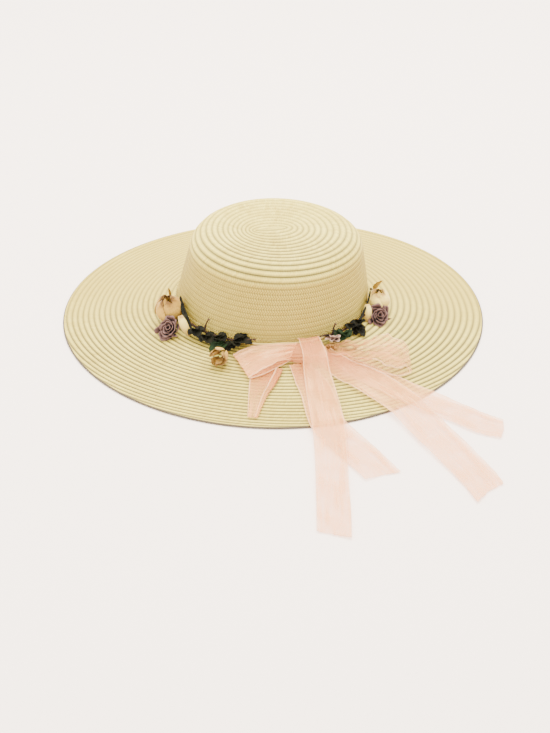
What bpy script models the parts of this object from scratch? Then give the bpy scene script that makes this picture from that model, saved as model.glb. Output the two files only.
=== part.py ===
"""A wide brim straw hat with a garland of leaves and small flowers and a sheer ribbon bow.

Metres, +Z up. The hat rests on its brim in the plane z = 0, the crown's axis is the Z axis and
the bow is at the front, towards -Y. Azimuths are degrees round the crown's axis from +X.
"""
import math

import bmesh
import bpy
import numpy as np
from mathutils import Euler, Vector
from mathutils.bvhtree import BVHTree

# Straw
STRAW_WALL = 0.002
BRIM_RADIUS = 0.206
BRIM_SHIFT = 0.002          # the brim's outline lies this far to the right of the crown's axis
BRIM_RISE = 0.018           # how much higher the brim is at the crown than at its edge
BRIM_FULLNESS = 1.15        # 1 is a straight cone, more is hollower
BRIM_LIP = 0.007            # the outermost braid lies flat on the table
BRIM_WAVE = 0.0017          # how far the edge strays from a circle
BRIM_LOBES = (
    # waves, depth as a share of BRIM_WAVE, azimuth of a crest
    (2, 0.7, 13.0),
    (3, 1.0, 45.0),
)
CROWN_RADIUS = 0.0945
CROWN_HEIGHT = 0.0765       # from the crown's foot to its top
CROWN_TAPER = 0.0095        # how much narrower the wall is where the shoulder starts
CROWN_FOOT = 0.003          # the wall's upright start
SHOULDER_DROP = 0.022
SHOULDER_WIDTH = 0.0235
CROWN_LEAN = 0.0055         # how far the crown's top leans to the right
CROWN_TILT = 0.030          # how steeply its top falls to the right

# Clearances
GAP = 0.0003

# Garland
BAND_HEIGHT = 0.008
BAND_WALL = 0.001
WIRE_RADIUS = 0.0013
WIRE_WAVE = 0.0010
VINE_START = -176.0         # azimuths between which the vine runs
VINE_END = 6.0
VINE_WAVES = 6.5
VINE_SEAT = 0.6             # how high it lies on the band, a share of the band's height
LEAF_LENGTH = 0.015
LEAF_WIDTH = 0.010
LEAF_WALL = 0.0009
LEAF_DROOP = 0.18           # how far the tip hangs, a share of the length
LEAF_FOLD = 0.22            # how high the edges stand over the middle, a share of the width
GARLAND_REACH = 0.0335      # how far its flowers and buds spread over the brim
ROSE_RADIUS = 0.0115
ROSE_HEIGHT = 0.013
BLOOM_RADIUS = 0.0125
BLOOM_HEIGHT = 0.031
BLOOM_DEPTH = 0.90          # how flat it is towards the crown, a share of its width
PETAL_LENGTH = 0.019
PETAL_WIDTH = 0.010
PETAL_CURL = -0.25
PETAL_FOLD = 0.35
BUD_RADIUS = 0.0065
BUD_FLATNESS = 0.75
TWIG_LENGTH = 0.013
TWIG_RADIUS = 0.0007
TWIG_BEND = 0.08

# Ribbon
RIBBON_WIDTH = 0.036
RIBBON_WALL = 0.001
KNOT_LENGTH = 0.044
KNOT_DEPTH = 0.024
KNOT_HEIGHT = 0.009
KNOT_SQUARENESS = 0.62
KNOT_AZIMUTH = -73.5
LOOP_HEIGHT = 0.008
LOOP_REACH = 0.0652         # how far from the crown's foot the loops reach

# Mesh fineness
RING_STEPS = 60
VINE_STEPS = 40
BLOOM_STEPS = 12
BRIM_STEPS = 6
WALL_STEPS = 4
SHOULDER_STEPS = 5
TOP_STEPS = 2
TAIL_STEPS = 4              # rows to each station of a ribbon
TAIL_COLUMNS = 4
EDGE_HOLD = 0.008           # a ribbon runs on this far past the brim's edge before it falls
EDGE_FALL = 0.020

PALETTE = {
    # name: colour, roughness
    "straw": ((0.80, 0.70, 0.45), 0.75),
    "organza": ((0.90, 0.62, 0.54), 0.55),
    "leaf_green": ((0.035, 0.060, 0.030), 0.60),
    "leaf_dark": ((0.040, 0.025, 0.020), 0.60),
    "leaf_gold": ((0.55, 0.42, 0.16), 0.55),
    "rose_mauve": ((0.30, 0.15, 0.14), 0.65),
    "satin_tan": ((0.72, 0.50, 0.27), 0.45),
    "satin_cream": ((0.88, 0.76, 0.58), 0.45),
    "stem_brown": ((0.10, 0.05, 0.03), 0.60),
}

# Plan stations. A tail's u is 0 at the crown's foot and 1 at the brim's edge, and goes on past it over the
# table. A loop's reach is a share of LOOP_REACH, and that of the garland's pieces a share of GARLAND_REACH.
# Widths are shares of RIBBON_WIDTH. Lifts are shares of KNOT_HEIGHT, layers count ribbons underneath.
TAILS = {
    "tail_1": (
        # u, azimuth, width, lift, layers
        (0.08, -70.5, 0.58, 1.16, 1.0),
        (0.17, -71.0, 0.60, 1.18, 1.0),
        (0.30, -71.8, 0.64, 1.12, 1.0),
        (0.42, -72.7, 0.70, 0.12, 1.0),
        (0.70, -74.4, 0.80, 0.0, 1.0),
        (1.03, -76.0, 0.84, 0.0, 1.0),
        (1.50, -78.5, 0.80, 0.0, 1.0),
        (1.85, -80.0, 0.80, 0.0, 0.9),
        (2.15, -81.0, 0.81, 0.0, 0.0),
        (2.49, -82.0, 0.81, 0.0, 0.0),
    ),
    "tail_2": (
        (0.345, -75.6, 0.50, 0.0, 0.0),
        (0.44, -75.0, 0.78, 0.0, 0.0),
        (0.63, -75.7, 0.86, 0.0, 0.0),
        (1.03, -76.0, 0.92, 0.0, 0.0),
        (1.27, -74.2, 0.95, 0.0, 0.0),
        (1.54, -72.4, 0.95, 0.0, 0.0),
        (1.81, -71.2, 0.92, 0.0, 0.0),
    ),
    "tail_3": (
        (0.325, -65.0, 0.36, 0.20, 1.0),
        (0.43, -61.6, 0.76, 0.0, 1.0),
        (0.60, -57.4, 1.00, 0.0, 1.0),
        (0.97, -54.6, 1.02, 0.0, 1.0),
        (1.53, -56.4, 1.00, 0.0, 1.0),
        (2.17, -57.9, 0.95, 0.0, 0.0),
        (2.43, -58.9, 0.90, 0.0, 0.0),
    ),
    "tail_4": (
        (0.33, -61.0, 0.36, 0.0, 0.0),
        (0.45, -57.2, 0.66, 0.0, 0.0),
        (0.79, -51.4, 0.84, 0.0, 0.0),
        (1.30, -47.4, 0.86, 0.0, 0.0),
        (1.62, -46.4, 0.86, 0.0, 0.0),
        (1.79, -45.0, 0.84, 0.0, 0.0),
    ),
    "bow_return": (
        (0.28, -92.5, 0.66, 0.0, 0.0),
        (0.44, -93.8, 0.70, 0.0, 0.0),
        (0.64, -94.6, 0.46, 0.0, 0.0),
        (0.90, -95.2, 0.24, 0.0, 0.0),
    ),
}
TAIL_CUTS = {               # how far the end is cut, shares of RIBBON_WIDTH at its left, middle and right
    "tail_1": (-0.12, 0.0, 0.14),
    "tail_2": (0.0, 0.02, 0.14),
    "tail_3": (0.14, -0.22, -0.39),
    "tail_4": (0.10, 0.04, -0.12),
    "bow_return": (0.0, 0.0, 0.0),
}

LOOPS = {
    # The upper layer goes out to the fold and the lower one comes back under it.
    "bow_loop_left": (
        # reach, azimuth, width, lift, layers, azimuth of the near side
        (0.325, -86.5, 0.46, 0.60, 1.0, -86.0),
        (0.351, -93.5, 0.78, 1.00, 1.0, -82.0),
        (0.419, -100.5, 1.04, 1.05, 1.0, -76.0),
        (0.470, -104.5, 1.08, 0.55, 1.0, -72.0),
        (0.419, -100.5, 1.04, 0.0, 1.0, -76.0),
        (0.351, -93.5, 0.78, 0.0, 1.0, -82.0),
        (0.325, -86.5, 0.46, 0.0, 1.0, -86.0),
    ),
    "bow_loop_right": (
        (0.393, -59.5, 0.38, 0.55, 1.0, -70.0),
        (0.513, -52.5, 0.72, 0.90, 1.0, -66.0),
        (0.675, -44.2, 0.90, 1.25, 1.0, -64.0),
        (0.795, -38.2, 0.96, 1.40, 1.0, -62.0),
        (1.000, -36.4, 0.96, 0.75, 1.0, -64.0),
        (0.872, -40.6, 0.92, 0.0, 1.0, -68.0),
        (0.727, -46.0, 0.80, 0.0, 1.0, -70.0),
        (0.530, -53.0, 0.60, 0.0, 1.0, -70.0),
        (0.402, -59.6, 0.34, 0.0, 1.0, -72.0),
    ),
}

LEAVES = {
    # azimuth, height share of BAND_HEIGHT, length and width shares, heading from outwards, tilt up, material
    "leaf_01": (-140.5, 0.4, 1.80, 0.55, -84.0, 60.0, "leaf_dark"),
    "leaf_02": (-137.0, 0.8, 1.00, 0.90, 62.0, 6.0, "leaf_dark"),
    "leaf_03": (-130.0, 0.8, 1.00, 1.00, 64.0, 2.0, "leaf_dark"),
    "leaf_04": (-123.0, 1.1, 0.93, 1.00, 70.0, 24.0, "leaf_green"),
    "leaf_05": (-115.0, 0.7, 1.20, 1.05, -44.0, -15.0, "leaf_green"),
    "leaf_06": (-111.5, 1.3, 1.33, 1.15, 82.0, 18.0, "leaf_dark"),
    "leaf_07": (-112.0, 0.7, 0.73, 0.80, -6.0, -24.0, "leaf_dark"),
    "leaf_08": (-46.5, 0.9, 1.00, 1.30, -64.0, -4.0, "leaf_green"),
    "leaf_09": (-40.0, 1.1, 0.80, 0.85, -66.0, 26.0, "leaf_green"),
    "leaf_10": (-38.0, 0.6, 0.93, 0.80, -6.0, -20.0, "leaf_dark"),
    "leaf_11": (-34.0, 1.0, 0.93, 0.75, -64.0, 24.0, "leaf_green"),
    "leaf_12": (-172.0, 1.0, 1.60, 0.60, 78.0, 66.0, "leaf_gold"),
    "leaf_13": (1.5, 1.0, 1.53, 0.60, -62.0, 62.0, "leaf_gold"),
}
TWIGS = {
    # azimuth, length share, heading from outwards, tilt up
    "twig_1": (-130.0, 1.23, 100.0, 72.0),
    "twig_2": (-106.0, 1.00, 88.0, 20.0),
    "twig_3": (-54.5, 0.92, 40.0, 78.0),
    "twig_4": (-58.0, 0.92, -92.0, 2.0),
}
ROSES = {
    # reach, azimuth, size share, lean outwards
    "rose_left": (0.632, -147.0, 1.0, 38.0),
    "rose_right": (0.439, -21.5, 0.80, 38.0),
}
BLOOMS = {
    # reach, azimuth, size share, lean outwards, material
    "flower_left": (0.373, -157.5, 1.0, 3.0, "satin_tan"),
    "flower_right": (0.306, -11.5, 0.84, 3.0, "satin_cream"),
}
PETALS = {
    # reach, azimuth, size share, heading from outwards, tilt up
    "petal_left": (0.349, -138.5, 1.0, -60.0, 76.0),
    "petal_right": (0.293, -24.6, 0.85, 0.0, 82.0),
}
BUDS = {
    # reach, azimuth, size share, material
    "bud_left": (0.999, -113.0, 1.15, "satin_tan"),
    "bud_right": (0.383, -57.0, 0.80, "rose_mauve"),
}


def clear_scene():
    for obj in list(bpy.data.objects):
        bpy.data.objects.remove(obj, do_unlink=True)


def make_collection(name):
    collection = bpy.data.collections.new(name)
    bpy.context.scene.collection.children.link(collection)
    return collection


def make_material(name):
    colour, roughness = PALETTE[name]
    material = bpy.data.materials.new(name)
    material.use_nodes = True
    shader = material.node_tree.nodes["Principled BSDF"]
    shader.inputs["Base Color"].default_value = (*colour, 1.0)
    shader.inputs["Roughness"].default_value = roughness
    shader.inputs["Metallic"].default_value = 0.0
    material.diffuse_color = (*colour, 1.0)
    return material


def add_object(name, data, collection, material):
    obj = bpy.data.objects.new(name, data)
    obj.data.materials.append(material)
    collection.objects.link(obj)
    return obj


def add_wall(obj, thickness, offset):
    wall = obj.modifiers.new("Wall", "SOLIDIFY")
    wall.thickness = thickness
    wall.offset = offset
    wall.use_even_offset = True
    return wall


def add_mesh(name, mesh, collection, material):
    data = bpy.data.meshes.new(name)
    bmesh.ops.recalc_face_normals(mesh, faces=mesh.faces)
    mesh.to_mesh(data)
    mesh.free()
    return add_object(name, data, collection, material)


# Places on the hat

def edge_radius(azimuth):
    """The brim's outer radius in a direction, in radians."""
    radius = BRIM_RADIUS
    for waves, depth, crest in BRIM_LOBES:
        radius += depth * BRIM_WAVE * math.cos(waves * (azimuth - math.radians(crest)))
    return radius


def brim_share(x, y):
    """0 at the crown's foot and 1 at the brim's edge."""
    across = min(max((math.hypot(x, y) - CROWN_RADIUS) / (BRIM_RADIUS - CROWN_RADIUS), 0.0), 1.0)
    x_here = x - BRIM_SHIFT * across
    edge = edge_radius(math.atan2(y, x_here))
    return (math.hypot(x_here, y) - CROWN_RADIUS) / (edge - CROWN_RADIUS)


def brim_under(x, y):
    """The height of the brim's underside."""
    slope_end = 1.0 - BRIM_LIP / (BRIM_RADIUS - CROWN_RADIUS)
    down = min(max(brim_share(x, y) / slope_end, 0.0), 1.0)
    return BRIM_RISE * (1.0 - down) ** BRIM_FULLNESS


def surface_height(x, y):
    """The height of what a loose piece lies on: the brim's top, or the table past its edge."""
    past = (brim_share(x, y) - 1.0) * (BRIM_RADIUS - CROWN_RADIUS) - EDGE_HOLD
    if past <= 0.0:
        return brim_under(x, y) + STRAW_WALL + GAP
    return (STRAW_WALL + GAP) * max(0.0, 1.0 - past / EDGE_FALL)


def plan_point(distance, azimuth):
    """A point of the plan, this far out from the crown's foot."""
    turn = math.radians(azimuth)
    radius = CROWN_RADIUS + distance
    return Vector((radius * math.cos(turn), radius * math.sin(turn), 0.0))


# Straw

def crown_profile():
    """Radius, height and lean share from the foot to the pole, over the crown's foot."""
    neck = CROWN_RADIUS - CROWN_TAPER
    wall_top = CROWN_HEIGHT - SHOULDER_DROP
    rows = [(CROWN_RADIUS, 0.0)]
    for step in range(WALL_STEPS + 1):
        share = step / WALL_STEPS
        rows.append((CROWN_RADIUS - CROWN_TAPER * share ** 1.2, CROWN_FOOT + (wall_top - CROWN_FOOT) * share))
    for step in range(1, SHOULDER_STEPS + 1):
        turn = 0.5 * math.pi * step / SHOULDER_STEPS
        rows.append((neck - SHOULDER_WIDTH * (1.0 - math.cos(turn)), wall_top + SHOULDER_DROP * math.sin(turn)))
    flat = neck - SHOULDER_WIDTH
    for step in range(1, TOP_STEPS + 1):
        rows.append((flat * (1.0 - step / TOP_STEPS), CROWN_HEIGHT))
    return rows


def spun(rows, steps):
    """The open surface that a profile makes round the Z axis."""
    mesh = bmesh.new()
    verts = [mesh.verts.new((radius, 0.0, height)) for radius, height in rows]
    edges = [mesh.edges.new(pair) for pair in zip(verts, verts[1:])]
    bmesh.ops.spin(mesh, geom=verts + edges, cent=(0, 0, 0), axis=(0, 0, 1), angle=2 * math.pi, steps=steps)
    bmesh.ops.remove_doubles(mesh, verts=mesh.verts, dist=1e-6)
    return mesh


def make_crown(collection, materials):
    mesh = spun(crown_profile(), RING_STEPS)
    foot = BRIM_RISE + STRAW_WALL + GAP
    for vert in mesh.verts:
        share = vert.co.z / CROWN_HEIGHT
        vert.co.z += foot - CROWN_TILT * vert.co.x * share ** 2
        vert.co.x += CROWN_LEAN * share
    crown = add_mesh("crown", mesh, collection, materials["straw"])
    add_wall(crown, STRAW_WALL, -1.0)
    return crown


def make_brim(collection, materials):
    inner = CROWN_RADIUS - STRAW_WALL
    lip_share = BRIM_LIP / (BRIM_RADIUS - CROWN_RADIUS)
    shares = [(1.0 - lip_share) * step / BRIM_STEPS for step in range(BRIM_STEPS + 1)] + [1.0]
    rows = [(inner, 0.0)] + [(CROWN_RADIUS + share * (BRIM_RADIUS - CROWN_RADIUS), 0.0) for share in shares]
    mesh = spun(rows, RING_STEPS)
    for vert in mesh.verts:
        radius, turn = math.hypot(vert.co.x, vert.co.y), math.atan2(vert.co.y, vert.co.x)
        share = max((radius - CROWN_RADIUS) / (BRIM_RADIUS - CROWN_RADIUS), 0.0)
        radius += share * (edge_radius(turn) - BRIM_RADIUS)
        vert.co.x = radius * math.cos(turn) + share * BRIM_SHIFT
        vert.co.y = radius * math.sin(turn)
        vert.co.z = BRIM_RISE * (1.0 - min(share / (1.0 - lip_share), 1.0)) ** BRIM_FULLNESS
    top_faces_up(mesh)
    data = bpy.data.meshes.new("brim")
    mesh.to_mesh(data)
    mesh.free()
    brim = add_object("brim", data, collection, materials["straw"])
    add_wall(brim, STRAW_WALL, 1.0).use_even_offset = False
    return brim


def top_faces_up(mesh):
    bmesh.ops.recalc_face_normals(mesh, faces=mesh.faces)
    mesh.normal_update()
    if sum(face.normal.z for face in mesh.faces) < 0:
        bmesh.ops.reverse_faces(mesh, faces=mesh.faces)


# Garland

def foot_height():
    """The height of the ledge that the band and the vine lie on."""
    return BRIM_RISE + STRAW_WALL + GAP


def vine_radius():
    return CROWN_RADIUS + GAP + BAND_WALL + GAP + WIRE_RADIUS + WIRE_WAVE


def vine_outside():
    return vine_radius() + WIRE_WAVE + WIRE_RADIUS + GAP


def make_band(collection, materials):
    radius = CROWN_RADIUS + GAP
    mesh = spun([(radius, 0.0), (radius, BAND_HEIGHT)], RING_STEPS)
    for vert in mesh.verts:
        vert.co.z += foot_height()
    band = add_mesh("hat_band", mesh, collection, materials["organza"])
    add_wall(band, BAND_WALL, 1.0)
    return band


def make_wire(name, points, radius, collection, material):
    curve = bpy.data.curves.new(name, "CURVE")
    curve.dimensions = "3D"
    curve.bevel_depth = radius
    curve.bevel_resolution = 1
    curve.use_fill_caps = True
    spline = curve.splines.new("POLY")
    spline.points.add(len(points) - 1)
    for point, place in zip(spline.points, points):
        point.co = (*place, 1.0)
    return add_object(name, curve, collection, material)


def vine_points():
    points = []
    for step in range(VINE_STEPS + 1):
        share = step / VINE_STEPS
        turn = math.radians(VINE_START + share * (VINE_END - VINE_START))
        wave = WIRE_WAVE * math.sin(2 * math.pi * VINE_WAVES * share)
        radius = vine_radius() + wave
        height = foot_height() + VINE_SEAT * BAND_HEIGHT + wave
        points.append(Vector((radius * math.cos(turn), radius * math.sin(turn), height)))
    return points


def make_vine(collection, materials):
    return make_wire("vine", vine_points(), WIRE_RADIUS, collection, materials["stem_brown"])


def tied_to_vine(obj):
    """Moves a leaf or a twig straight at the vine until it lies against it."""
    bpy.context.view_layer.update()
    graph = bpy.context.evaluated_depsgraph_get()
    shape = obj.evaluated_get(graph)
    mesh = bmesh.new()
    mesh.from_mesh(shape.to_mesh())
    mesh.transform(shape.matrix_world)
    tree = BVHTree.FromBMesh(mesh)
    mesh.free()
    shape.to_mesh_clear()
    points = vine_points()
    for start, end in zip(points[:-1], points[1:]):
        points.append(start.lerp(end, 0.5))
    nearest = [(point, tree.find_nearest(point)) for point in points]
    point, found = min(nearest, key=lambda pair: pair[1][3])
    obj.location += (point - found[0]).normalized() * (found[3] - WIRE_RADIUS - GAP)
    return obj


def heading_frame(azimuth, heading, tilt):
    """Rotation whose X axis points outwards, turned by heading and raised by tilt."""
    return Euler((0.0, -math.radians(tilt), math.radians(azimuth + heading)), "XYZ")


def blade(length, width, droop, fold):
    """A leaf's open surface along +X, with a fold down its middle."""
    along, across = 6, 2
    mesh = bmesh.new()
    bmesh.ops.create_grid(mesh, x_segments=along, y_segments=across, size=0.5)
    narrowest = 0.12
    for vert in mesh.verts:
        t, side = vert.co.x + 0.5, 2.0 * vert.co.y
        breadth = narrowest + (1.0 - narrowest) * math.sin(math.pi * t ** 0.8) ** 0.8
        vert.co.x = length * t
        vert.co.y = 0.5 * width * breadth * side
        vert.co.z = fold * width * abs(side) * breadth - droop * length * t * t
    return mesh


def make_leaf(name, row, collection, materials):
    azimuth, height, length, width, heading, tilt, material = row
    mesh = blade(length * LEAF_LENGTH, width * LEAF_WIDTH, LEAF_DROOP, LEAF_FOLD)
    leaf = add_mesh(name, mesh, collection, materials[material])
    place = plan_point(0.0, azimuth).normalized() * (vine_outside() + LEAF_WALL)
    place.z = foot_height() + height * BAND_HEIGHT
    leaf.location = place
    leaf.rotation_euler = heading_frame(azimuth, heading, tilt)
    add_wall(leaf, LEAF_WALL, 0.0)
    return tied_to_vine(leaf)


def make_petal(name, row, collection, materials):
    reach, azimuth, size, heading, tilt = row
    mesh = blade(size * PETAL_LENGTH, size * PETAL_WIDTH, PETAL_CURL, PETAL_FOLD)
    petal = add_mesh(name, mesh, collection, materials["satin_cream"])
    petal.location = plan_point(reach * GARLAND_REACH, azimuth)
    petal.rotation_euler = heading_frame(azimuth, heading, tilt)
    add_wall(petal, LEAF_WALL, 0.0)
    return seated(petal)


def seated(obj):
    """Lets a piece down until its lowest point lies on the brim."""
    bpy.context.view_layer.update()
    shape = obj.evaluated_get(bpy.context.evaluated_depsgraph_get())
    points = [shape.matrix_world @ vert.co for vert in shape.to_mesh().vertices]
    obj.location.z -= min(point.z - surface_height(point.x, point.y) for point in points)
    shape.to_mesh_clear()
    return obj


def make_twig(name, row, collection, materials):
    azimuth, length_share, heading, tilt = row
    length = length_share * TWIG_LENGTH
    place = plan_point(0.0, azimuth).normalized() * (vine_outside() + TWIG_RADIUS)
    place.z = foot_height() + BAND_HEIGHT
    ahead = heading_frame(azimuth, heading, tilt).to_matrix() @ Vector((1, 0, 0))
    bend = Vector((0, 0, TWIG_BEND * length))
    points = [place, place + 0.5 * length * ahead + bend, place + length * ahead]
    return tied_to_vine(make_wire(name, points, TWIG_RADIUS, collection, materials["stem_brown"]))


def lathe(name, profile, collection, material):
    """The solid that a profile from its top to its foot makes round the Z axis."""
    data = bpy.data.meshes.new(name)
    data.from_pydata([(radius, 0.0, height) for radius, height in profile],
                     [(i, i + 1) for i in range(len(profile) - 1)], [])
    obj = add_object(name, data, collection, material)
    turn = obj.modifiers.new("Turn", "SCREW")
    turn.axis = "Z"
    turn.steps = BLOOM_STEPS
    turn.render_steps = BLOOM_STEPS
    turn.use_merge_vertices = True
    turn.merge_threshold = 1e-5
    turn.use_normal_calculate = True
    return obj


def make_rose(name, row, collection, materials):
    reach, azimuth, size, lean = row
    radius, height = size * ROSE_RADIUS, size * ROSE_HEIGHT
    # radius and height shares, three whorls of petals from the middle outwards
    whorls = ((0.0, 0.86), (0.14, 0.98), (0.24, 1.0), (0.36, 0.86), (0.46, 0.95), (0.60, 0.92),
              (0.70, 0.76), (0.80, 0.84), (0.94, 0.72), (1.0, 0.50), (0.86, 0.20), (0.50, 0.0), (0.0, 0.0))
    rose = lathe(name, [(radius * r, height * h) for r, h in whorls], collection, materials["rose_mauve"])
    rose.location = plan_point(reach * GARLAND_REACH, azimuth)
    rose.rotation_euler = (0.0, math.radians(lean), math.radians(azimuth))
    return seated(rose)


def make_bloom(name, row, collection, materials):
    reach, azimuth, size, lean, material = row
    radius, height = size * BLOOM_RADIUS, size * BLOOM_HEIGHT
    # radius and height shares, from the middle of the cup over its rim and down to its foot
    cup = ((0.0, 0.35), (0.55, 0.45), (0.80, 0.75), (0.84, 0.96), (0.94, 1.0), (1.0, 0.80),
           (0.86, 0.55), (0.55, 0.22), (0.30, 0.02), (0.0, 0.0))
    bloom = lathe(name, [(radius * r, height * h) for r, h in cup], collection, materials[material])
    bloom.location = plan_point(reach * GARLAND_REACH, azimuth)
    bloom.rotation_euler = (0.0, math.radians(lean), math.radians(azimuth))
    bloom.scale.x = BLOOM_DEPTH
    return seated(bloom)


def make_bud(name, row, collection, materials):
    reach, azimuth, size, material = row
    mesh = bmesh.new()
    bmesh.ops.create_uvsphere(mesh, u_segments=10, v_segments=7, radius=size * BUD_RADIUS)
    for vert in mesh.verts:
        vert.co.z *= BUD_FLATNESS
    bud = add_mesh(name, mesh, collection, materials[material])
    bud.location = plan_point(reach * GARLAND_REACH, azimuth)
    return seated(bud)


# Ribbon

def smooth_rows(rows, count):
    """Catmull-Rom rows through the stations, spread evenly over them."""
    table = np.array(rows, float)
    padded = np.vstack([2 * table[0] - table[1], table, 2 * table[-1] - table[-2]])
    steps = np.linspace(0.0, len(table) - 1.0, count)
    first = np.minimum(steps.astype(int), len(table) - 2)
    t = (steps - first)[:, None]
    a, b, c, d = (padded[first + k] for k in range(4))
    return 0.5 * (2 * b + (c - a) * t + (2 * a - 5 * b + 4 * c - d) * t ** 2 + (3 * b - a - 3 * c + d) * t ** 3)


def across_plan(centres):
    """Unit vectors across a path in the plan, to its left."""
    ahead = np.gradient(centres, axis=0)
    ahead /= np.linalg.norm(ahead, axis=1)[:, None]
    return np.stack([-ahead[:, 1], ahead[:, 0]], axis=1)


def grid_mesh(points):
    """An open bmesh surface over an array of rows and columns of points."""
    rows, columns = points.shape[:2]
    mesh = bmesh.new()
    verts = [[mesh.verts.new(points[i, j]) for j in range(columns)] for i in range(rows)]
    for i in range(rows - 1):
        for j in range(columns - 1):
            mesh.faces.new((verts[i][j], verts[i][j + 1], verts[i + 1][j + 1], verts[i + 1][j]))
    return mesh


def lay_ribbon(name, plan, lift, side, collection, materials):
    """A ribbon's solid from its plan, rows by columns of points, lying lift above what is under it.

    It is as thick as RIBBON_WALL above that surface with a side of 1, and inside a loop with -1.
    """
    heights = [[surface_height(x, y) for x, y in row] for row in plan]
    points = np.dstack([plan, heights + lift[:, None]])
    mesh = grid_mesh(points)
    data = bpy.data.meshes.new(name)
    mesh.normal_update()
    mesh.faces.ensure_lookup_table()
    if mesh.faces[0].normal.z < 0:
        bmesh.ops.reverse_faces(mesh, faces=mesh.faces)
    mesh.to_mesh(data)
    mesh.free()
    ribbon = add_object(name, data, collection, materials["organza"])
    add_wall(ribbon, RIBBON_WALL, side).use_even_offset = False
    return ribbon


def make_tail(name, collection, materials):
    rows = TAIL_STEPS * len(TAILS[name])
    table = smooth_rows(TAILS[name], rows)
    width = BRIM_RADIUS - CROWN_RADIUS
    centres = np.array([plan_point(u * width, azimuth)[:2] for u, azimuth in table[:, :2]])
    left = across_plan(centres)
    ahead = np.stack([left[:, 1], -left[:, 0]], axis=1)
    sides = np.linspace(-1.0, 1.0, TAIL_COLUMNS)
    cut = np.interp(sides, (-1.0, 0.0, 1.0), TAIL_CUTS[name]) * RIBBON_WIDTH
    near_end = np.clip(1.0 - (rows - 1 - np.arange(rows)) / TAIL_STEPS, 0.0, 1.0)
    half = 0.5 * RIBBON_WIDTH * table[:, 2]
    plan = (centres[:, None, :]
            + (half[:, None] * sides)[:, :, None] * left[:, None, :]
            + (near_end[:, None] * cut)[:, :, None] * ahead[:, None, :])
    lift = KNOT_HEIGHT * np.maximum(table[:, 3], 0.0) + (RIBBON_WALL + GAP) * np.clip(table[:, 4], 0.0, 1.0)
    return lay_ribbon(name, plan, lift, 1.0, collection, materials)


def make_loop(name, collection, materials):
    rows = TAIL_STEPS * len(LOOPS[name])
    table = smooth_rows(LOOPS[name], rows)
    centres = np.array([plan_point(reach * LOOP_REACH, azimuth)[:2] for reach, azimuth in table[:, :2]])
    near = np.radians(table[:, 5])
    toward = np.stack([np.cos(near), np.sin(near)], axis=1)
    half = 0.5 * RIBBON_WIDTH * table[:, 2]
    sides = np.linspace(-1.0, 1.0, TAIL_COLUMNS)
    plan = centres[:, None, :] + (half[:, None] * sides)[:, :, None] * toward[:, None, :]
    lift = LOOP_HEIGHT * np.maximum(table[:, 3], 0.0) + (RIBBON_WALL + GAP) * table[:, 4]
    return lay_ribbon(name, plan, lift, -1.0, collection, materials)


def make_knot(collection, materials):
    mesh = bmesh.new()
    bmesh.ops.create_uvsphere(mesh, u_segments=16, v_segments=10, radius=0.5)
    for vert in mesh.verts:
        for axis, size in enumerate((KNOT_LENGTH, KNOT_DEPTH, KNOT_HEIGHT)):
            share = 2.0 * vert.co[axis]
            vert.co[axis] = 0.5 * size * math.copysign(abs(share) ** KNOT_SQUARENESS, share)
    knot = add_mesh("bow_knot", mesh, collection, materials["organza"])
    turn = math.radians(KNOT_AZIMUTH)
    out = vine_outside() + 0.5 * KNOT_DEPTH + GAP
    knot.location = (out * math.cos(turn), out * math.sin(turn), 0.0)
    knot.rotation_euler = (math.atan2(BRIM_RISE, BRIM_RADIUS - CROWN_RADIUS), 0.0, 0.0)
    return seated(knot)


def build():
    clear_scene()
    collection = make_collection("straw_hat")
    materials = {name: make_material(name) for name in PALETTE}
    make_crown(collection, materials)
    make_brim(collection, materials)
    make_band(collection, materials)
    make_vine(collection, materials)
    for name, row in LEAVES.items():
        make_leaf(name, row, collection, materials)
    for name, row in TWIGS.items():
        make_twig(name, row, collection, materials)
    for name, row in ROSES.items():
        make_rose(name, row, collection, materials)
    for name, row in BLOOMS.items():
        make_bloom(name, row, collection, materials)
    for name, row in PETALS.items():
        make_petal(name, row, collection, materials)
    for name, row in BUDS.items():
        make_bud(name, row, collection, materials)
    for name in TAILS:
        make_tail(name, collection, materials)
    for name in LOOPS:
        make_loop(name, collection, materials)
    make_knot(collection, materials)


build()
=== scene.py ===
import math

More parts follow.
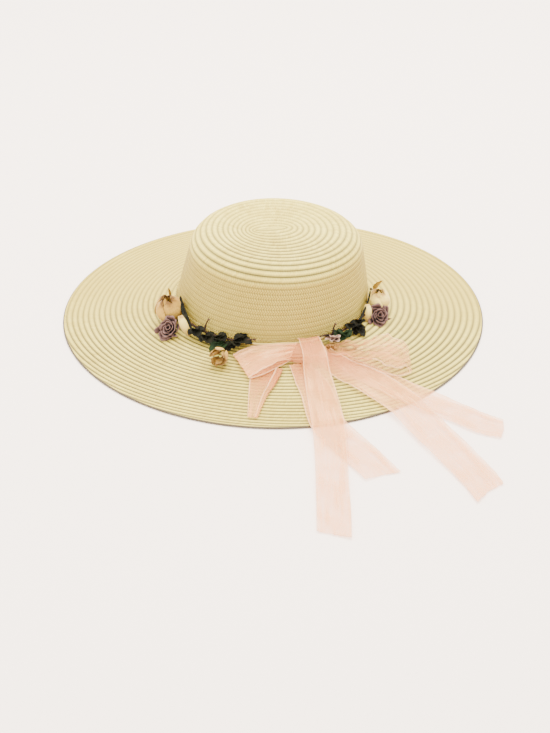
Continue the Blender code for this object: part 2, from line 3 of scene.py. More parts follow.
import bmesh
import bpy
import numpy as np
from mathutils import Euler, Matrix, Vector


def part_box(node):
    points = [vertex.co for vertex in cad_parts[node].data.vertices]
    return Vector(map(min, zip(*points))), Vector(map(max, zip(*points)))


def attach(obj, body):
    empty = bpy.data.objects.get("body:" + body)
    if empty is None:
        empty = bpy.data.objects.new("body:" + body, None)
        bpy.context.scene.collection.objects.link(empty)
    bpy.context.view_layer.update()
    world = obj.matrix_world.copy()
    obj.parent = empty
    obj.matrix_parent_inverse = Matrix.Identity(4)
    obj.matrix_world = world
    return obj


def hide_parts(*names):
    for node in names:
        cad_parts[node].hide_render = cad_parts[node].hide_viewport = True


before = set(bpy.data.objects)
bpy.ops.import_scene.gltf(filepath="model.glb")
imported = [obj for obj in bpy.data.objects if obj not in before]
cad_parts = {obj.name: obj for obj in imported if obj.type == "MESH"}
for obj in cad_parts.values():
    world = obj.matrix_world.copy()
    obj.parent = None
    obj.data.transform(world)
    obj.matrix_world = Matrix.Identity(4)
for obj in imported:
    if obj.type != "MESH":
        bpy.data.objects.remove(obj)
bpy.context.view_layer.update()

# metres, +Z up, the bow towards -Y; the crown's axis is the Z axis at its foot
hat = {
    "crownRadius": 0.0945, "crownHeight": 0.0765, "crownTaper": 0.0095, "crownFoot": 0.003, "taperCurve": 1.2,
    "shoulderDrop": 0.022, "shoulderWidth": 0.0235, "crownLean": 0.0055, "crownTilt": 0.030,
    "brimRadius": 0.206, "brimShift": 0.002, "brimRise": 0.018, "brimFullness": 1.15, "brimLip": 0.007,
    "brimWave": 0.0017, "wall": 0.002, "gap": 0.0003, "overhang": 0.008, "fall": 0.020,
}
brimWaves = ((2, 13.0, 0.7), (3, 45.0, 1.0))  # count round the edge, azimuth and share of brimWave of each
brimWidth = hat["brimRadius"] - hat["crownRadius"]
footHeight = hat["brimRise"] + hat["wall"] + hat["gap"]
wallTop = hat["crownHeight"] - hat["shoulderDrop"]


def addObject(name, mesh, look, node):
    obj = bpy.data.objects.new(name, mesh)
    mesh.materials.append(looks[look])
    bpy.context.scene.collection.objects.link(obj)
    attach(obj, "root")
    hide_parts(node)
    return obj


def gridQuads(rows, cols, wrapCols=False):
    # quads over a grid of points kept row by row
    i, j = np.meshgrid(np.arange(rows - 1), np.arange(cols if wrapCols else cols - 1), indexing="ij")
    k = (j + 1) % cols
    low, high = i * cols, (i + 1) * cols
    return np.stack([low + j, low + k, high + k, high + j], -1).reshape(-1, 4)


def shareGrid(rows, cols, low=-1):
    # 0 to 1 down a grid's rows, and low to 1 along its columns
    return np.meshgrid(np.linspace(0, 1, rows), np.linspace(low, 1, cols), indexing="ij")


def cornerUv(u, v):
    # each quad's corners take the grid's own u and v; where a grid wraps round, these carry one column more
    near, far = np.stack([u[:-1], v[:-1]], -1), np.stack([u[1:], v[1:]], -1)
    return np.stack([near[:, :-1], near[:, 1:], far[:, 1:], far[:, :-1]], 2).reshape(-1, 4, 2)


def gridPart(points, u, v, wrapCols=False):
    # a grid of points as vertices, quads and the quads' uvs
    return points.reshape(-1, 3), gridQuads(*points.shape[:2], wrapCols), cornerUv(u, v)


def meshOf(name, verts, quads, uvs, merge=None):
    mesh = bpy.data.meshes.new(name)
    mesh.vertices.add(len(verts))
    mesh.vertices.foreach_set("co", np.ascontiguousarray(verts, np.float32).ravel())
    mesh.loops.add(quads.size)
    mesh.loops.foreach_set("vertex_index", np.ascontiguousarray(quads, np.int32).ravel())
    mesh.polygons.add(len(quads))
    mesh.polygons.foreach_set("loop_start", np.arange(len(quads), dtype=np.int32) * 4)
    mesh.uv_layers.new(name="UVMap").data.foreach_set("uv", np.ascontiguousarray(uvs, np.float32).ravel())
    mesh.update(calc_edges=True)
    if merge:
        # closes seams and poles, and turns the faces outwards
        work = bmesh.new()
        work.from_mesh(mesh)
        bmesh.ops.remove_doubles(work, verts=work.verts, dist=merge)
        bmesh.ops.dissolve_degenerate(work, edges=work.edges, dist=merge)
        bmesh.ops.recalc_face_normals(work, faces=work.faces)
        work.to_mesh(mesh)
        work.free()
    mesh.polygons.foreach_set("use_smooth", np.ones(len(mesh.polygons), bool))
    mesh.update()
    return mesh


def thicken(obj, thickness):
    wall = obj.modifiers.new("Wall", "SOLIDIFY")
    wall.thickness = thickness
    wall.offset = 0.0


def joined(parts):
    # several (verts, quads, uvs) sets as one
    verts, quads, uvs, start = [], [], [], 0
    for v, q, t in parts:
        verts.append(v)
        quads.append(q + start)
        uvs.append(t)
        start += len(v)
    return np.concatenate(verts), np.concatenate(quads), np.concatenate(uvs)


def curveAt(rows, places):
    # Catmull-Rom curve through the stations, read at places from 0 to 1 along them
    table = np.array(rows, float)
    padded = np.vstack([2 * table[0] - table[1], table, 2 * table[-1] - table[-2]])
    steps = np.clip(places, 0, 1) * (len(table) - 1.0)
    first = np.minimum(steps.astype(int), len(table) - 2)
    t = (steps - first)[..., None]
    a, b, c, d = (padded[first + k] for k in range(4))
    return 0.5 * (2 * b + (c - a) * t + (2 * a - 5 * b + 4 * c - d) * t ** 2 + (3 * b - a - 3 * c + d) * t ** 3)


def catmull(rows, count):
    return curveAt(rows, np.linspace(0, 1, count))


def crumple(s, c, seed):
    # soft creases: three crossing sine waves of falling size, together between -1 and 1
    bent = 2.1 * seed + 1.5 * np.sin(4 * c)
    return (0.50 * np.sin(7.3 * s + 5.1 * c + seed) + 0.32 * np.sin(15.7 * s - 8.3 * c + bent)
            + 0.18 * np.sin(27.0 * s + 17.0 * c + 3.7 * seed))


def tubeAlong(path, radius, sides, taper):
    # a circle carried along a path, its radius times taper, with closed ends
    path = np.asarray(path, float)
    ahead = np.gradient(path, axis=0)
    ahead /= np.linalg.norm(ahead, axis=1)[:, None]
    side = np.cross(ahead, np.array([0.01, 0.01, 1.01]))
    side /= np.linalg.norm(side, axis=1)[:, None]
    lift = np.cross(side, ahead)
    turn = np.linspace(0, 2 * np.pi, sides + 1)[:-1, None]
    ring = np.cos(turn) * side[:, None, :] + np.sin(turn) * lift[:, None, :]
    points = path[:, None, :] + (radius * taper)[:, None, None] * ring
    first, last = (np.repeat(path[[end], None, :], sides, 1) for end in (0, -1))
    closed = np.concatenate([first, points, last])
    u, v = np.meshgrid(np.linspace(0, 1, sides + 1), np.linspace(0, 1, len(closed)))
    return gridPart(closed, u, v, wrapCols=True)


def edgeRadius(turn):
    # the brim's radius: even, plus slow cosine waves round it
    waves = [share * np.cos(count * (turn - math.radians(azimuth))) for count, azimuth, share in brimWaves]
    return hat["brimRadius"] + hat["brimWave"] * sum(waves)


def brimShare(x, y):
    # 0 at the crown's foot, 1 at the brim's edge
    across = np.clip((np.hypot(x, y) - hat["crownRadius"]) / brimWidth, 0, 1)
    shifted = x - hat["brimShift"] * across
    edge = edgeRadius(np.arctan2(y, shifted))
    return (np.hypot(shifted, y) - hat["crownRadius"]) / (edge - hat["crownRadius"])


def brimTop(x, y):
    down = np.clip(brimShare(x, y) / (1 - hat["brimLip"] / brimWidth), 0, 1)
    return hat["brimRise"] * (1 - down) ** hat["brimFullness"] + hat["wall"]


def surfaceHeight(x, y):
    # what a loose piece lies on: the brim's top, or past its edge the table
    past = (brimShare(x, y) - 1) * brimWidth - hat["overhang"]
    onTable = (hat["wall"] + hat["gap"]) * np.clip(1 - past / hat["fall"], 0, 1)
    return np.where(past <= 0, brimTop(x, y) + hat["gap"], onTable)


def crownWall(high):
    # the wall's radius, which falls as a power of the height
    return hat["crownRadius"] - hat["crownTaper"] * high ** hat["taperCurve"]


class Socket:
    # a value in a material's node tree, which takes +, -, * and ** with numbers and other sockets
    def __init__(self, tree, output):
        self.tree, self.output = tree, output

    def __add__(self, other):
        return calc("ADD", self, other)

    def __sub__(self, other):
        return calc("SUBTRACT", self, other)

    def __rsub__(self, other):
        return calc("SUBTRACT", other, self)

    def __mul__(self, other):
        return calc("MULTIPLY", self, other)

    def __pow__(self, other):
        return calc("POWER", self, other)

    __radd__, __rmul__ = __add__, __mul__


def put(target, value):
    if isinstance(value, Socket):
        value.tree.links.new(value.output, target)
    else:
        target.default_value = (*value, 1) if isinstance(value, tuple) else value


def newNode(tree, kind, inputs, output=0, **settings):
    # a node with these inputs and settings, and the socket of it that is used
    node = tree.nodes.new(kind)
    for name, value in settings.items():
        setattr(node, name, value)
    for place, value in inputs.items():
        put(node.inputs[place], value)
    return Socket(tree, node.outputs[output])


def calc(operation, a, b=0.0, clamp=False):
    tree = (a if isinstance(a, Socket) else b).tree
    return newNode(tree, "ShaderNodeMath", {0: a, 1: b}, operation=operation, use_clamp=clamp)


def fromMiddleOf(share):
    # 0 in the middle of a share that runs from 0 to 1, and 1 at both its ends
    return calc("ABSOLUTE", share * 2.0 - 1.0)


def splitOf(vector):
    node = newNode(vector.tree, "ShaderNodeSeparateXYZ", {0: vector}).output.node
    return [Socket(vector.tree, output) for output in node.outputs]


def uvParts(tree):
    return splitOf(newNode(tree, "ShaderNodeTexCoord", {}, "UV"))[:2]


def objectPoint(tree):
    return newNode(tree, "ShaderNodeTexCoord", {}, "Object")


def vectorOf(x, y):
    return newNode(x.tree, "ShaderNodeCombineXYZ", {0: x, 1: y})


def noiseOf(vector, scale, detail=2.0):
    inputs = {"Vector": vector, "Scale": scale, "Detail": detail, "Roughness": 0.5}
    return newNode(vector.tree, "ShaderNodeTexNoise", inputs, "Fac")


def rangeOf(value, low, high):
    # 0 below low, 1 above high and a smooth step between
    inputs = {"Value": value, "From Min": low, "From Max": high}
    return newNode(value.tree, "ShaderNodeMapRange", inputs, interpolation_type="SMOOTHSTEP")


def rampOf(factor, *stops):
    ramp = newNode(factor.tree, "ShaderNodeValToRGB", {0: factor})
    elements = ramp.output.node.color_ramp.elements
    while len(elements) < len(stops):
        elements.new(0.5)
    for element, (place, colour) in zip(elements, stops):
        element.position = place
        element.color = (*colour, 1)
    return ramp


def mixOf(factor, a, b):
    tree = next(value.tree for value in (factor, a, b) if isinstance(value, Socket))
    return newNode(tree, "ShaderNodeMix", {0: factor, 6: a, 7: b}, 2, data_type="RGBA")


def startMaterial(name, colour, roughness, specular, sheen=0.0):
    material = bpy.data.materials.new(name)
    material.use_nodes = True
    material.diffuse_color = (*colour, 1)
    shader = material.node_tree.nodes["Principled BSDF"].inputs
    put(shader["Base Color"], colour)
    put(shader["Roughness"], roughness)
    put(shader["Specular IOR Level"], specular)
    put(shader["Sheen Weight"], sheen)
    return material, material.node_tree, shader


def finishMaterial(shader, colour, roughness, height, distance):
    put(shader["Base Color"], colour)
    if roughness:
        put(shader["Roughness"], roughness)
    inputs = {"Strength": 1.0, "Distance": distance, "Height": height}
    put(shader["Normal"], newNode(height.tree, "ShaderNodeBump", inputs))


strawLook = {
    "bright": (0.82, 0.67, 0.145), "pale": (0.68, 0.535, 0.095), "gold": (0.50, 0.365, 0.052),
    "wall": (0.43, 0.300, 0.043), "groove": (0.040, 0.031, 0.011), "edge": (0.085, 0.064, 0.034),
    "strandsPerRow": 2.45, "strandSlant": 0.5, "wobble": 0.5, "plaitDepth": 0.0004,
    # heights where the wall's darker painted shade starts and is full, and its share
    "wallTop": 0.0875, "wallFull": 0.0735, "wallShare": 0.70,
    # where the painted shade changes from back to front, and the brim's golden painted shade at the front and at
    # the back
    "backEnd": -0.06, "frontStart": 0.09, "shadeGoldAtFront": 0.18, "shadeGoldAtBack": 0.65,
    # share of painted shade between the strands, and how much more of it the wall takes
    "gaps": 0.18, "gapsOnWall": 0.80,
    # strength of the painted groove shade behind the crown and towards the bow, the share the wall loses, and the
    # middle line's
    "shadeLineAtBack": 0.46, "shadeLineAtFront": 1.0, "lineOffWall": 0.74, "middleLine": 0.30,
}


def strawMaterial(name, crown):
    # u runs along a braid in row widths, v counts the braids, so its fraction is the place across one;
    # v below 0 marks the brim's edge, which is coloured dark brown
    look = strawLook
    material, tree, shader = startMaterial(name, look["pale"], 0.62, 0.15)
    u, v = uvParts(tree)
    x, y, z = splitOf(objectPoint(tree))
    row, halfRow = calc("FLOOR", v), calc("FLOOR", v * 2.0)
    # wall is 1 on the crown's wall and 0 elsewhere, front is 0 behind the crown and 1 towards the bow
    wall = rangeOf(z * -1.0, -look["wallTop"], -look["wallFull"]) if crown else 0.0
    front = rangeOf(y * -1.0, look["backEnd"], look["frontStart"])
    fromMiddle = fromMiddleOf(calc("FRACT", v))
    # strands slant to the braid's middle from both sides, and the two sides are half a strand apart
    along = u * look["strandsPerRow"] + fromMiddle * look["strandSlant"] + halfRow * 0.5
    along = along + noiseOf(vectorOf(u, row), 0.9) * look["wobble"]
    strand = calc("ABSOLUTE", calc("SINE", along * math.pi)) ** 0.6
    # each strand has a tone of its own, over a broad drift
    tone = noiseOf(vectorOf(calc("FLOOR", along), row * 3.7), 0.83, 1.0)
    shade = tone * 0.5 + noiseOf(objectPoint(tree), 14.0, 3.0) * 0.5
    colour = rampOf(shade, (0.28, look["gold"]), (0.50, look["pale"]), (0.72, look["bright"]))
    # painted shade: the brim turns more golden towards the back of the hat
    if not crown:
        colour = mixOf(look["shadeGoldAtFront"] + (1.0 - front) * look["shadeGoldAtBack"], colour, look["gold"])
    # painted shade: the upright wall is darker and more golden than the top
    colour = mixOf(wall * look["wallShare"], colour, look["wall"])
    # painted shade in the gaps between the strands, which shows more on the wall
    gaps = (1.0 - strand) * (look["gaps"] + wall * look["gapsOnWall"])
    colour = mixOf(gaps, colour, look["groove"])
    # painted shade along the sewn groove between two braids: deeper towards the bow, and on the wall fainter,
    # with one in between
    strength = look["shadeLineAtBack"] + front * (look["shadeLineAtFront"] - look["shadeLineAtBack"])
    line = fromMiddle ** 1.5 * strength * (1.0 - wall * look["lineOffWall"])
    middleLine = fromMiddleOf(calc("FRACT", v * 2.0)) ** 3.0 * (wall * look["middleLine"])
    colour = mixOf(calc("ADD", line, middleLine, clamp=True), colour, look["groove"])
    colour = mixOf(calc("LESS_THAN", v, 0.0), colour, look["edge"])
    fibres = noiseOf(vectorOf(u * 0.6, v * 9.0), 3.0)
    finishMaterial(shader, colour, fibres * 0.3 + 0.50, strand * 0.8 + fibres * 0.25, look["plaitDepth"])
    return material


ribbonLook = {
    "colour": (0.90, 0.39, 0.115), "pale": (0.95, 0.475, 0.185), "deep": (0.52, 0.145, 0.032),
    "folded": (0.62, 0.30, 0.070), "cream": (0.60, 0.45, 0.10), "edge": (0.95, 0.52, 0.25),
    "deepFrom": 0.004, "deepOver": 0.066, "selvedge": 0.11, "selvedgeFrom": 0.90, "selvedgeFull": 0.96,
    "streak": 0.13, "threads": 900.0, "weave": 0.12, "weaveDepth": 0.00016, "sheen": 0.12,
}
organzaLooks = {
    # alpha of one face, colour, paler colour, threads across
    "organza": (0.29, "colour", "pale", 32), "organza_gathered": (0.46, "colour", "pale", 32),
    # the sheer loop's darker golden colour is painted shade on the straw under it; the folded strip's is its
    # doubled cloth
    "organza_sheer": (0.12, "folded", "colour", 32), "organza_folded": (0.30, "folded", "colour", 32),
    "organza_cream": (0.20, "cream", "cream", 7),
}


def organzaMaterial(name, alpha, colourName, paleName, wefts):
    # u is metres along the ribbon and v is 0 to 1 across it; a sheet has two faces,
    # so it hides about twice its alpha
    look = ribbonLook
    colour, pale, plain = look[colourName], look[paleName], colourName == paleName
    material, tree, shader = startMaterial(name, colour, 0.50, 0.20, look["sheen"])
    put(shader["Sheen Roughness"], 0.4)
    u, v = uvParts(tree)
    slub = noiseOf(vectorOf(u * 22.0, v * (wefts * 0.6)), 1.0, 1.5)
    tone = rangeOf(slub * 0.55 + noiseOf(objectPoint(tree), 55.0, 3.0) * 0.45, 0.36, 0.64)
    # gathered cloth is deeper and denser for the first few centimetres from the knot
    gathered = 1.0 - rangeOf(u, look["deepFrom"], look["deepOver"])
    gathered = gathered * calc("ADD", 0.35, slub * 0.9, clamp=True)
    shown = mixOf(gathered, mixOf(tone, colour, pale), colour if plain else look["deep"])
    # soft creases: long streaks where the cloth is denser
    streak = rangeOf(noiseOf(vectorOf(u * 16.0, v * 5.5), 1.0, 1.0), 0.50, 0.66)
    edge = rangeOf(fromMiddleOf(v), look["selvedgeFrom"], look["selvedgeFull"])
    if not plain:
        shown = mixOf(edge, shown, look["edge"])
    hides = (alpha - 0.10) + tone * 0.20 + gathered * 0.12 + streak * look["streak"]
    put(shader["Alpha"], calc("ADD", hides, edge * look["selvedge"], clamp=True))
    warp = calc("SINE", u * (look["threads"] * 2 * math.pi))
    weft = calc("SINE", v * (wefts * 2 * math.pi))
    finishMaterial(shader, shown, None, warp * weft * look["weave"] + slub, look["weaveDepth"])
    return material


petalLooks = {
    # roughness, sheen, specular, and the colours from a petal's base, 0, to its rim, 1; the flowers' dark petal
    # bases are painted shade deep inside them
    "rose_mauve": (0.65, 0.04, 0.06, ((0.0, (0.008, 0.003, 0.0025)), (0.60, (0.030, 0.013, 0.011)),
                                      (0.84, (0.060, 0.029, 0.023)), (1.0, (0.150, 0.082, 0.066)))),
    "bud_mauve": (0.60, 0.06, 0.08, ((0.0, (0.030, 0.014, 0.011)), (0.50, (0.16, 0.075, 0.050)),
                                     (1.0, (0.50, 0.32, 0.22)))),
    "satin_tan": (0.45, 0.08, 0.10, ((0.0, (0.10, 0.045, 0.010)), (0.25, (0.28, 0.145, 0.022)),
                                     (0.60, (0.46, 0.27, 0.043)), (0.85, (0.36, 0.195, 0.03)),
                                     (1.0, (0.12, 0.055, 0.012)))),
    "satin_cream": (0.45, 0.15, 0.15, ((0.0, (0.22, 0.12, 0.022)), (0.35, (0.52, 0.36, 0.070)),
                                       (0.80, (0.74, 0.56, 0.13)), (1.0, (0.34, 0.19, 0.04)))),
    "stem_brown": (0.65, 0.05, 0.10, ((0.0, (0.010, 0.005, 0.003)), (0.5, (0.030, 0.015, 0.007)),
                                      (1.0, (0.055, 0.028, 0.013)))),
}


def petalMaterial(name, roughness, sheen, specular, stops):
    # a fine cloth coloured along v, with a drift of tone and a woven grain
    material, tree, shader = startMaterial(name, stops[-2][1], roughness, specular, sheen)
    point, v = objectPoint(tree), uvParts(tree)[1]
    drift, grain = noiseOf(point, 210.0, 3.0), noiseOf(point, 1300.0, 2.0)
    colour = rampOf(v + (drift - 0.5) * 0.45, *stops)
    finishMaterial(shader, colour, grain * 0.2 + (roughness - 0.1), grain + drift * 1.5, 0.0004)
    return material


leafLooks = {
    # dark and light
    "leaf_green": ((0.003, 0.007, 0.002), (0.013, 0.027, 0.007)),
    "leaf_dark": ((0.002, 0.002, 0.001), (0.013, 0.012, 0.005)),
    "leaf_gold": ((0.18, 0.10, 0.02), (0.42, 0.27, 0.06)),
}


def leafMaterial(name, dark, light):
    # u runs from the stem to the tip, v across, so the veins branch from v = 0.5
    material, tree, shader = startMaterial(name, light, 0.6, 0.08)
    u, v = uvParts(tree)
    fromMiddle = fromMiddleOf(v)
    vein = calc("ABSOLUTE", calc("COSINE", (u * 9.0 - fromMiddle * 3.0) * math.pi)) ** 14.0
    lines = calc("MAXIMUM", vein * 0.6, (1.0 - fromMiddle) ** 18.0)
    drift = noiseOf(objectPoint(tree), 160.0, 3.0)
    colour = rampOf(drift, (0.3, dark), (0.75, light))
    colour = mixOf(lines * 0.35, colour, tuple(min(1, 2.2 * x + 0.01) for x in light))
    finishMaterial(shader, colour, drift * 0.3 + 0.45, drift - lines * 0.8, 0.0004)
    return material


vineLook = {"brown": (0.020, 0.010, 0.005), "thread": (0.50, 0.36, 0.10), "bareFrom": 0.40, "bareTo": 0.645}


def vineMaterial(name):
    # v runs along the wire: wound with brown thread by the leaves, with straw coloured thread behind the bow
    look = vineLook
    material, tree, shader = startMaterial(name, look["brown"], 0.65, 0.1)
    v = uvParts(tree)[1]
    bare = rangeOf(v, look["bareFrom"], look["bareFrom"] + 0.02)
    bare = bare * (1.0 - rangeOf(v, look["bareTo"] - 0.02, look["bareTo"]))
    drift = noiseOf(objectPoint(tree), 300.0, 2.0)
    brown = rampOf(drift, (0.3, look["brown"]), (0.8, tuple(2.6 * x for x in look["brown"])))
    finishMaterial(shader, mixOf(bare, brown, look["thread"]), drift * 0.3 + 0.5, drift, 0.0002)
    return material


looks = {"straw_brim": strawMaterial("straw_brim", False), "straw_crown": strawMaterial("straw_crown", True),
         "vine_thread": vineMaterial("vine_thread")}
for table, makeLook in (
        (organzaLooks, organzaMaterial), (petalLooks, petalMaterial), (leafLooks, leafMaterial)):
    looks.update({name: makeLook(name, *values) for name, values in table.items()})
print("stage: materials made")


braid = {
    "rowWidth": 0.0058, "rightMore": 0.0004, "frontLess": 0.0015, "brimRowCount": 28,
    "topPitch": 0.0062, "topRows": 15.6, "wallPitch": 0.0050, "crownRowCount": 27,
    "relief": 0.00062, "wallRelief": 0.40, "shingle": 0.00022, "fadeOver": 0.0015, "wallBlend": 0.012,
    "topSamples": 5, "underSamples": 2, "brimColumns": 480, "crownColumns": 360, "seamAzimuth": 90.0,
    "coreHalf": 0.0135, "coreReach": 0.070, "coreTurn": 19.0, "coreShift": -0.0078,
    "uvUnit": 0.006, "edgeBulge": 0.0012, "ringBulge": -0.0002, "edgeV": -0.9, "ringV": 0.2, "footV": 26.2,
}


def brimRows(rows, turn):
    # rows sewn so far to metres from the crown: a little wider on the right, closer at the front
    front = np.clip(-np.sin(turn), 0, 1) ** 1.5
    return rows * (braid["rowWidth"] + braid["rightMore"] * np.cos(turn) - braid["frontLess"] * front)


def crownRows(rows, turn):
    # rows from the pole to metres: wide ones on the top and shoulder, closer ones down the wall
    top, wall = np.minimum(rows, braid["topRows"]), np.maximum(rows - braid["topRows"], 0)
    return top * braid["topPitch"] + wall * braid["wallPitch"]


def rowRelief(lines, samples):
    # across one braid: a rounded hump that rises a little towards the outside, and a groove at its edges
    share = (np.arange(lines) % samples) / samples
    hump = braid["relief"] * (np.sin(np.pi * share) ** 0.55 - 1.0)
    return hump + braid["shingle"] * (share - 0.2) * (share > 0)


def spiralGrid(total, samples, columns, placeOf, rowCount):
    # the lines of a spiral: line i lies at row i / samples + share of the turn - 1, held between 0 and total
    lines = samples * (rowCount + 1) + 1
    i, j = np.meshgrid(np.arange(lines), np.arange(columns + 1), indexing="ij")
    turn = math.radians(braid["seamAzimuth"]) + 2 * np.pi * j / columns
    out = np.clip(placeOf(i / samples + j / columns - 1, turn), 0, total)
    fade = np.clip(np.minimum(out, total - out) / braid["fadeOver"], 0, 1)
    return out, turn, fade * rowRelief(lines, samples)[:, None]


def spiralUv(radius, samples):
    # u is the length along a braid at its middle, in row widths, and v counts rows along the spiral
    lines, columns = radius.shape
    middle = np.clip((np.arange(lines - 1) // samples) * samples + samples // 2, 0, lines - 1)
    share = np.arange(columns) / (columns - 1)
    length = 2 * np.pi * radius[middle] * share[None, :] / braid["uvUnit"]
    v = np.arange(lines) / samples
    u = np.stack([length[:, :-1], length[:, 1:], length[:, 1:], length[:, :-1]], -1)
    low, high = np.repeat(v[:-1, None], columns - 1, 1), np.repeat(v[1:, None], columns - 1, 1)
    inside = 1e-4 * np.array([-1, -1, 1, 1])  # keeps each quad's v off the whole numbers at its ends
    return np.stack([u, np.stack([low, low, high, high], -1) - inside], -1).reshape(-1, 4, 2)


def brimSheet(samples, under):
    # height falls from the crown to the edge as a power of the share left, plus the wall and the rows' relief
    out, turn, relief = spiralGrid(brimWidth, samples, braid["brimColumns"], brimRows, braid["brimRowCount"])
    share = out / brimWidth
    radius = hat["crownRadius"] + out + share * (edgeRadius(turn) - hat["brimRadius"])
    lipShare = hat["brimLip"] / brimWidth
    height = hat["brimRise"] * (1 - np.minimum(share / (1 - lipShare), 1)) ** hat["brimFullness"]
    height = height - 0.6 * relief if under else height + hat["wall"] + relief
    points = np.stack([radius * np.cos(turn) + share * hat["brimShift"], radius * np.sin(turn), height], -1)
    return points, spiralUv(radius, samples)


def rim(top, under, bulge, firstV, steps=4):
    # joins two sheets' last lines by a rounded edge: a straight step plus half a sine of bulge outwards
    t = np.linspace(0, 1, steps + 1)[:, None, None]
    outward = top * np.array([1.0, 1.0, 0.0])
    outward /= np.linalg.norm(outward, axis=1)[:, None]
    edge = under + (top - under) * t + bulge * np.sin(np.pi * t) * outward
    u, v = np.meshgrid(np.linspace(0, 220, edge.shape[1]), np.linspace(firstV, firstV + 0.6, steps + 1))
    return gridPart(edge, u, v)


def strawPiece(node, upper, lower, rims):
    # two sheets, the lower one turned over, closed by rims
    (top, topUv), (under, underUv) = upper, lower
    parts = [(top.reshape(-1, 3), gridQuads(*top.shape[:2]), topUv),
             (under.reshape(-1, 3), gridQuads(*under.shape[:2])[:, ::-1], underUv)]
    parts += [rim(top[line], under[line], bulge, firstV) for line, bulge, firstV in rims]
    mesh = meshOf("straw_" + node, *joined(parts), merge=2e-6)
    addObject("straw_" + node, mesh, "straw_" + node, node)


def crownProfile():
    # from the pole outwards: the flat top, the shoulder's quarter ellipse, the wall's taper and its upright foot
    neck = hat["crownRadius"] - hat["crownTaper"]
    turn = np.linspace(np.pi / 2, 0, 40)
    wall = np.linspace(1, 0, 40)[1:]
    shoulder = neck - hat["shoulderWidth"] * (1 - np.cos(turn))
    radius = np.concatenate([np.linspace(0, neck - hat["shoulderWidth"], 20)[:-1], shoulder,
                             crownWall(wall), [hat["crownRadius"]]])
    height = np.concatenate([np.full(19, hat["crownHeight"]), wallTop + hat["shoulderDrop"] * np.sin(turn),
                             hat["crownFoot"] + (wallTop - hat["crownFoot"]) * wall, [0.0]])
    length = np.concatenate([[0], np.cumsum(np.hypot(np.diff(radius), np.diff(height)))])
    along = np.stack([np.gradient(radius, length), np.gradient(height, length)], -1)
    along /= np.linalg.norm(along, axis=1)[:, None]
    return radius, height, length, -along[:, 1], along[:, 0]


def crownSheet(samples, inner):
    # the profile turned round a pole that is stretched to a short line, leaned and tilted with height
    radius, height, length, normalOut, normalUp = crownProfile()
    out, turn, relief = spiralGrid(length[-1], samples, braid["crownColumns"], crownRows, braid["crownRowCount"])
    wallStart = braid["topRows"] * braid["topPitch"] - 0.5 * braid["wallBlend"]
    wallShare = np.clip((out - wallStart) / braid["wallBlend"], 0, 1)
    relief = relief * (1 - (1 - braid["wallRelief"]) * wallShare)
    offset = -hat["wall"] - 0.5 * relief if inner else relief
    wide = np.interp(out, length, radius) + offset * np.interp(out, length, normalOut)
    wide = np.where(out <= 0, 0.0, wide)
    high = np.interp(out, length, height) + offset * np.interp(out, length, normalUp)
    nearPole = (1 - np.clip(out / braid["coreReach"], 0, 1)) ** 2
    core = braid["coreHalf"] * nearPole * np.cos(turn)
    aim = math.radians(braid["coreTurn"])
    x = wide * np.cos(turn) + core * math.cos(aim) + braid["coreShift"] * nearPole ** 0.75
    y = wide * np.sin(turn) + core * math.sin(aim)
    share = high / hat["crownHeight"]
    tilted = high + footHeight - hat["crownTilt"] * x * share ** 2
    points = np.stack([x + hat["crownLean"] * share, y, tilted], -1)
    return points, spiralUv(np.interp(out, length, radius), samples)


strawPiece("brim", brimSheet(braid["topSamples"], False), brimSheet(braid["underSamples"], True),
           ((-1, braid["edgeBulge"], braid["edgeV"]), (0, braid["ringBulge"], braid["ringV"])))
strawPiece("crown", crownSheet(braid["topSamples"], False), crownSheet(braid["underSamples"], True),
           ((-1, 0.0, braid["footV"]),))
print("stage: straw made")


